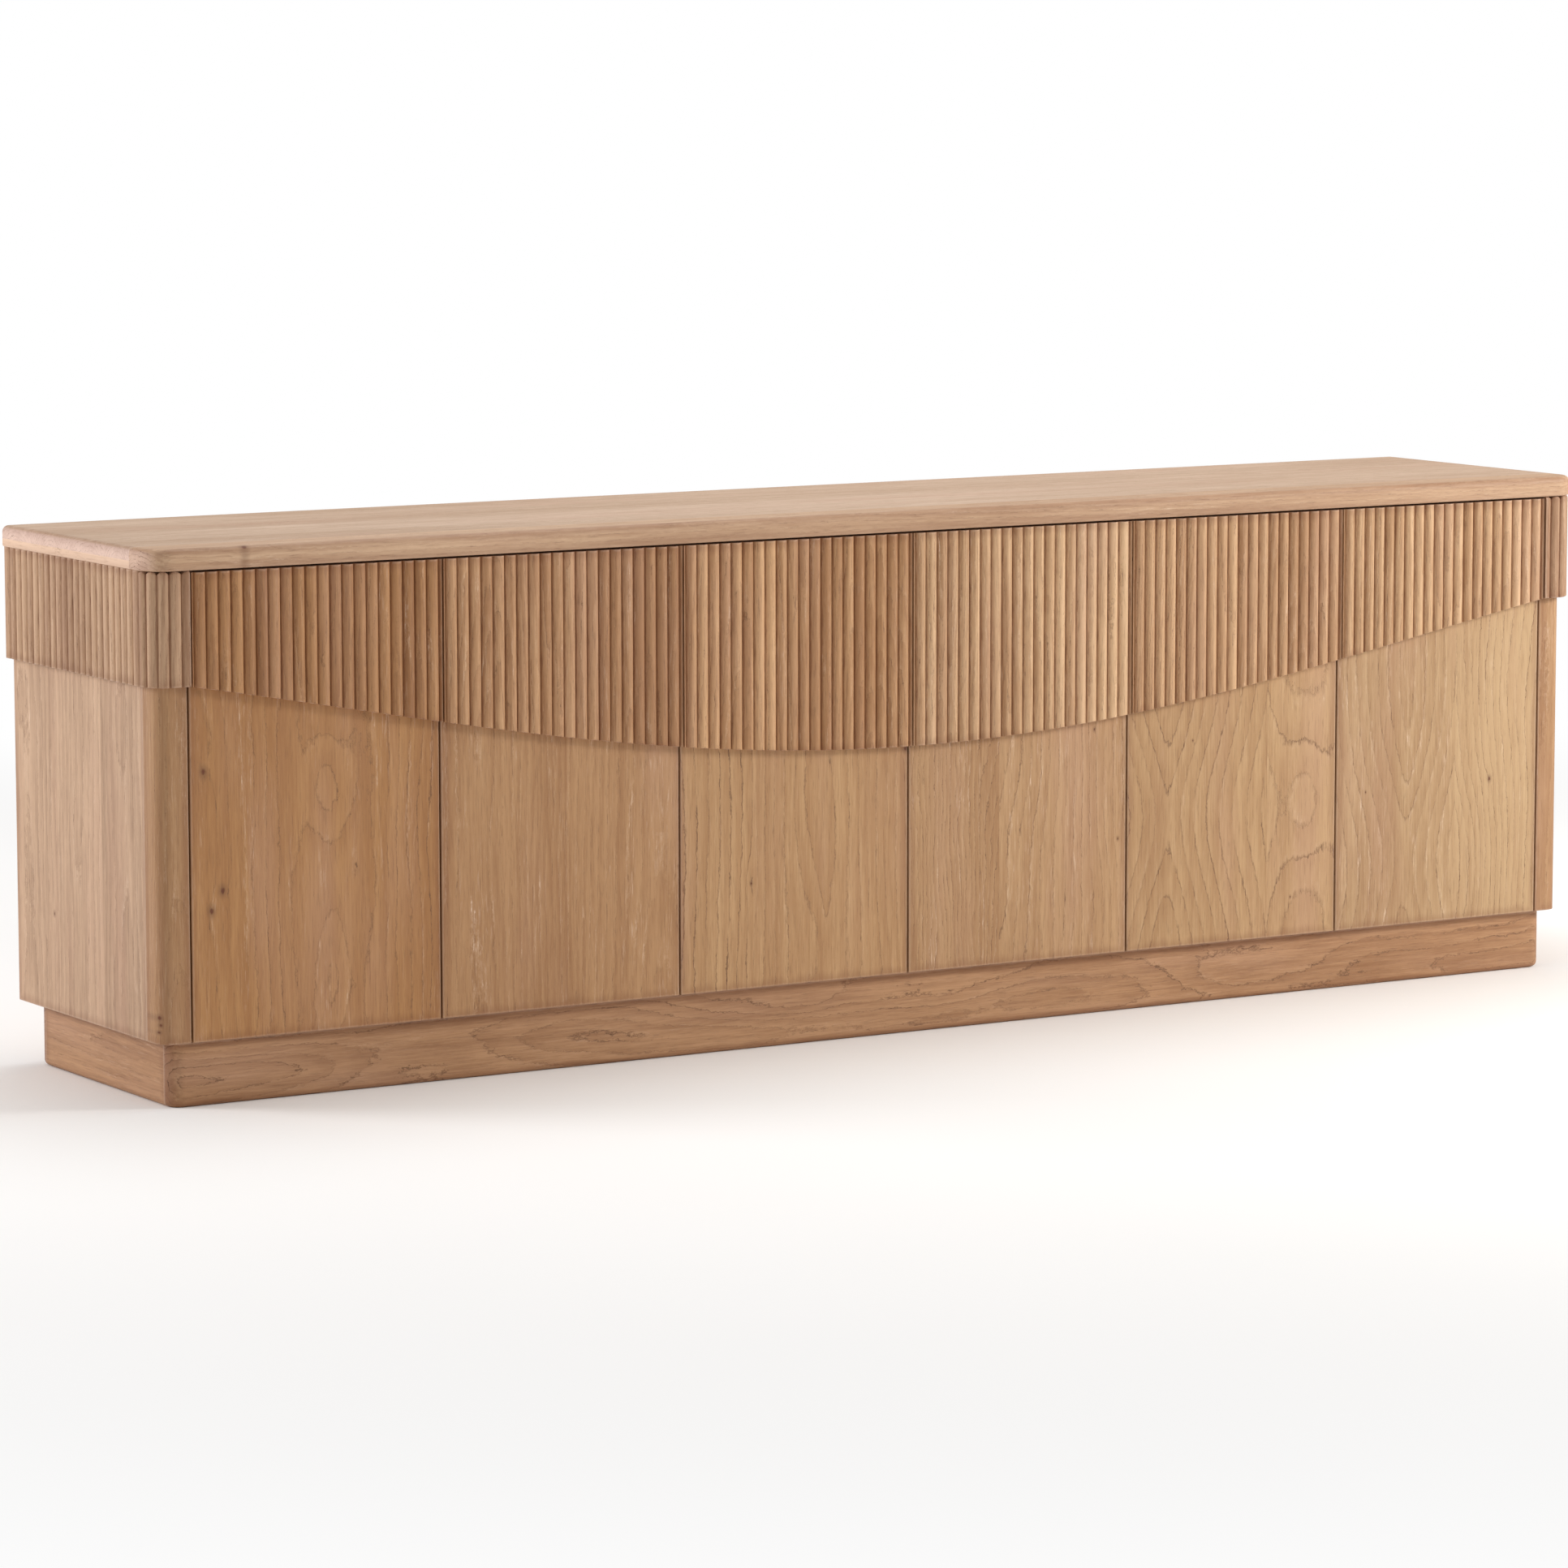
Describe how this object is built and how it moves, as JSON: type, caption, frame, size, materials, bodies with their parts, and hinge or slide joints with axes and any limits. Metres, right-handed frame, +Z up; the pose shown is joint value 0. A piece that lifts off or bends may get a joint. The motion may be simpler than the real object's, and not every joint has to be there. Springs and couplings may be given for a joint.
{
  "type": "media cabinet",
  "caption": "Long low oak media cabinet with reeded swing doors under a rounded slab top; the reeds end in one curve across the front, on a recessed plinth.",
  "frame": {"origin": "centre of the footprint, on the floor", "axes": "+Z up; +X along the cabinet, to the right of someone facing the doors; the doors face -Y"},
  "size_m": [2.438, 0.483, 0.768],
  "materials": {
    "oak_top": "limed, wire-brushed oak, matt oil",
    "oak_strip": "limed, wire-brushed oak, matt oil, paler long grain",
    "oak_reeds": "limed, wire-brushed oak reeds, matt oil",
    "oak_door": "limed, wire-brushed oak, matt oil",
    "oak_case": "limed, wire-brushed oak, matt oil",
    "oak_plinth": "limed, wire-brushed oak, matt oil",
    "oak_inner": "plain oak boards, clear matt lacquer",
    "nickel_steel": "nickel-plated steel hinge hardware",
    "zinc_steel": "zinc-plated strike plates",
    "catch_plastic": "dark moulded catch housings"
  },
  "bodies": {
    "case": {"top_panel": "oak_top", "top_nosing": "oak_top", "top_strip_left": "oak_strip", "top_strip_right": "oak_strip", "top_strip_back": "oak_top", "side_panel_left": "oak_case", "side_panel_right": "oak_case", "corner_post_left": "oak_case", "corner_post_right": "oak_case", "hinge_stile_left": "oak_inner", "hinge_stile_right": "oak_inner", "bottom_panel": "oak_inner", "divider_left": "oak_inner", "divider_right": "oak_inner", "top_rail_front": "oak_inner", "top_rail_back": "oak_inner", "back_panel_left": "oak_inner", "back_panel_middle": "oak_inner", "back_panel_right": "oak_inner", "shelf_left": "oak_inner", "shelf_middle": "oak_inner", "shelf_right": "oak_inner", "shelf_pins": "nickel_steel", "plinth_front": "oak_plinth", "plinth_back": "oak_plinth", "plinth_left": "oak_plinth", "plinth_right": "oak_plinth", "plinth_stretchers": "oak_inner", "side_reeds_left": "oak_reeds", "side_reeds_right": "oak_reeds", "corner_reeds_left": "oak_reeds", "corner_reeds_right": "oak_reeds", "hinge_arms": "nickel_steel", "hinge_plates": "nickel_steel", "plate_screws": "nickel_steel", "magnetic_catches": "catch_plastic"},
    "door_1": {"door_1_panel": "oak_door", "door_1_reeds": "oak_reeds", "door_1_hinge_cups": "nickel_steel", "door_1_strike_plate": "zinc_steel"},
    "door_2": {"door_2_panel": "oak_door", "door_2_reeds": "oak_reeds", "door_2_hinge_cups": "nickel_steel", "door_2_strike_plate": "zinc_steel"},
    "door_3": {"door_3_panel": "oak_door", "door_3_reeds": "oak_reeds", "door_3_hinge_cups": "nickel_steel", "door_3_strike_plate": "zinc_steel"},
    "door_4": {"door_4_panel": "oak_door", "door_4_reeds": "oak_reeds", "door_4_hinge_cups": "nickel_steel", "door_4_strike_plate": "zinc_steel"},
    "door_5": {"door_5_panel": "oak_door", "door_5_reeds": "oak_reeds", "door_5_hinge_cups": "nickel_steel", "door_5_strike_plate": "zinc_steel"},
    "door_6": {"door_6_panel": "oak_door", "door_6_reeds": "oak_reeds", "door_6_hinge_cups": "nickel_steel", "door_6_strike_plate": "zinc_steel"}
  },
  "joints": [
    {"name": "door_1_hinge", "type": "hinge", "parent": "case", "child": "door_1", "pos_m": [-1.1535, -0.239, 0.413], "axis": [0, 0, -1], "range_deg": [0, 90]},
    {"name": "door_2_hinge", "type": "hinge", "parent": "case", "child": "door_2", "pos_m": [-0.3865, -0.239, 0.413], "axis": [0, 0, 1], "range_deg": [0, 90]},
    {"name": "door_3_hinge", "type": "hinge", "parent": "case", "child": "door_3", "pos_m": [-0.3835, -0.239, 0.413], "axis": [0, 0, -1], "range_deg": [0, 90]},
    {"name": "door_4_hinge", "type": "hinge", "parent": "case", "child": "door_4", "pos_m": [0.3835, -0.239, 0.413], "axis": [0, 0, 1], "range_deg": [0, 90]},
    {"name": "door_5_hinge", "type": "hinge", "parent": "case", "child": "door_5", "pos_m": [0.3865, -0.239, 0.413], "axis": [0, 0, -1], "range_deg": [0, 90]},
    {"name": "door_6_hinge", "type": "hinge", "parent": "case", "child": "door_6", "pos_m": [1.1535, -0.239, 0.413], "axis": [0, 0, 1], "range_deg": [0, 90]}
  ]
}
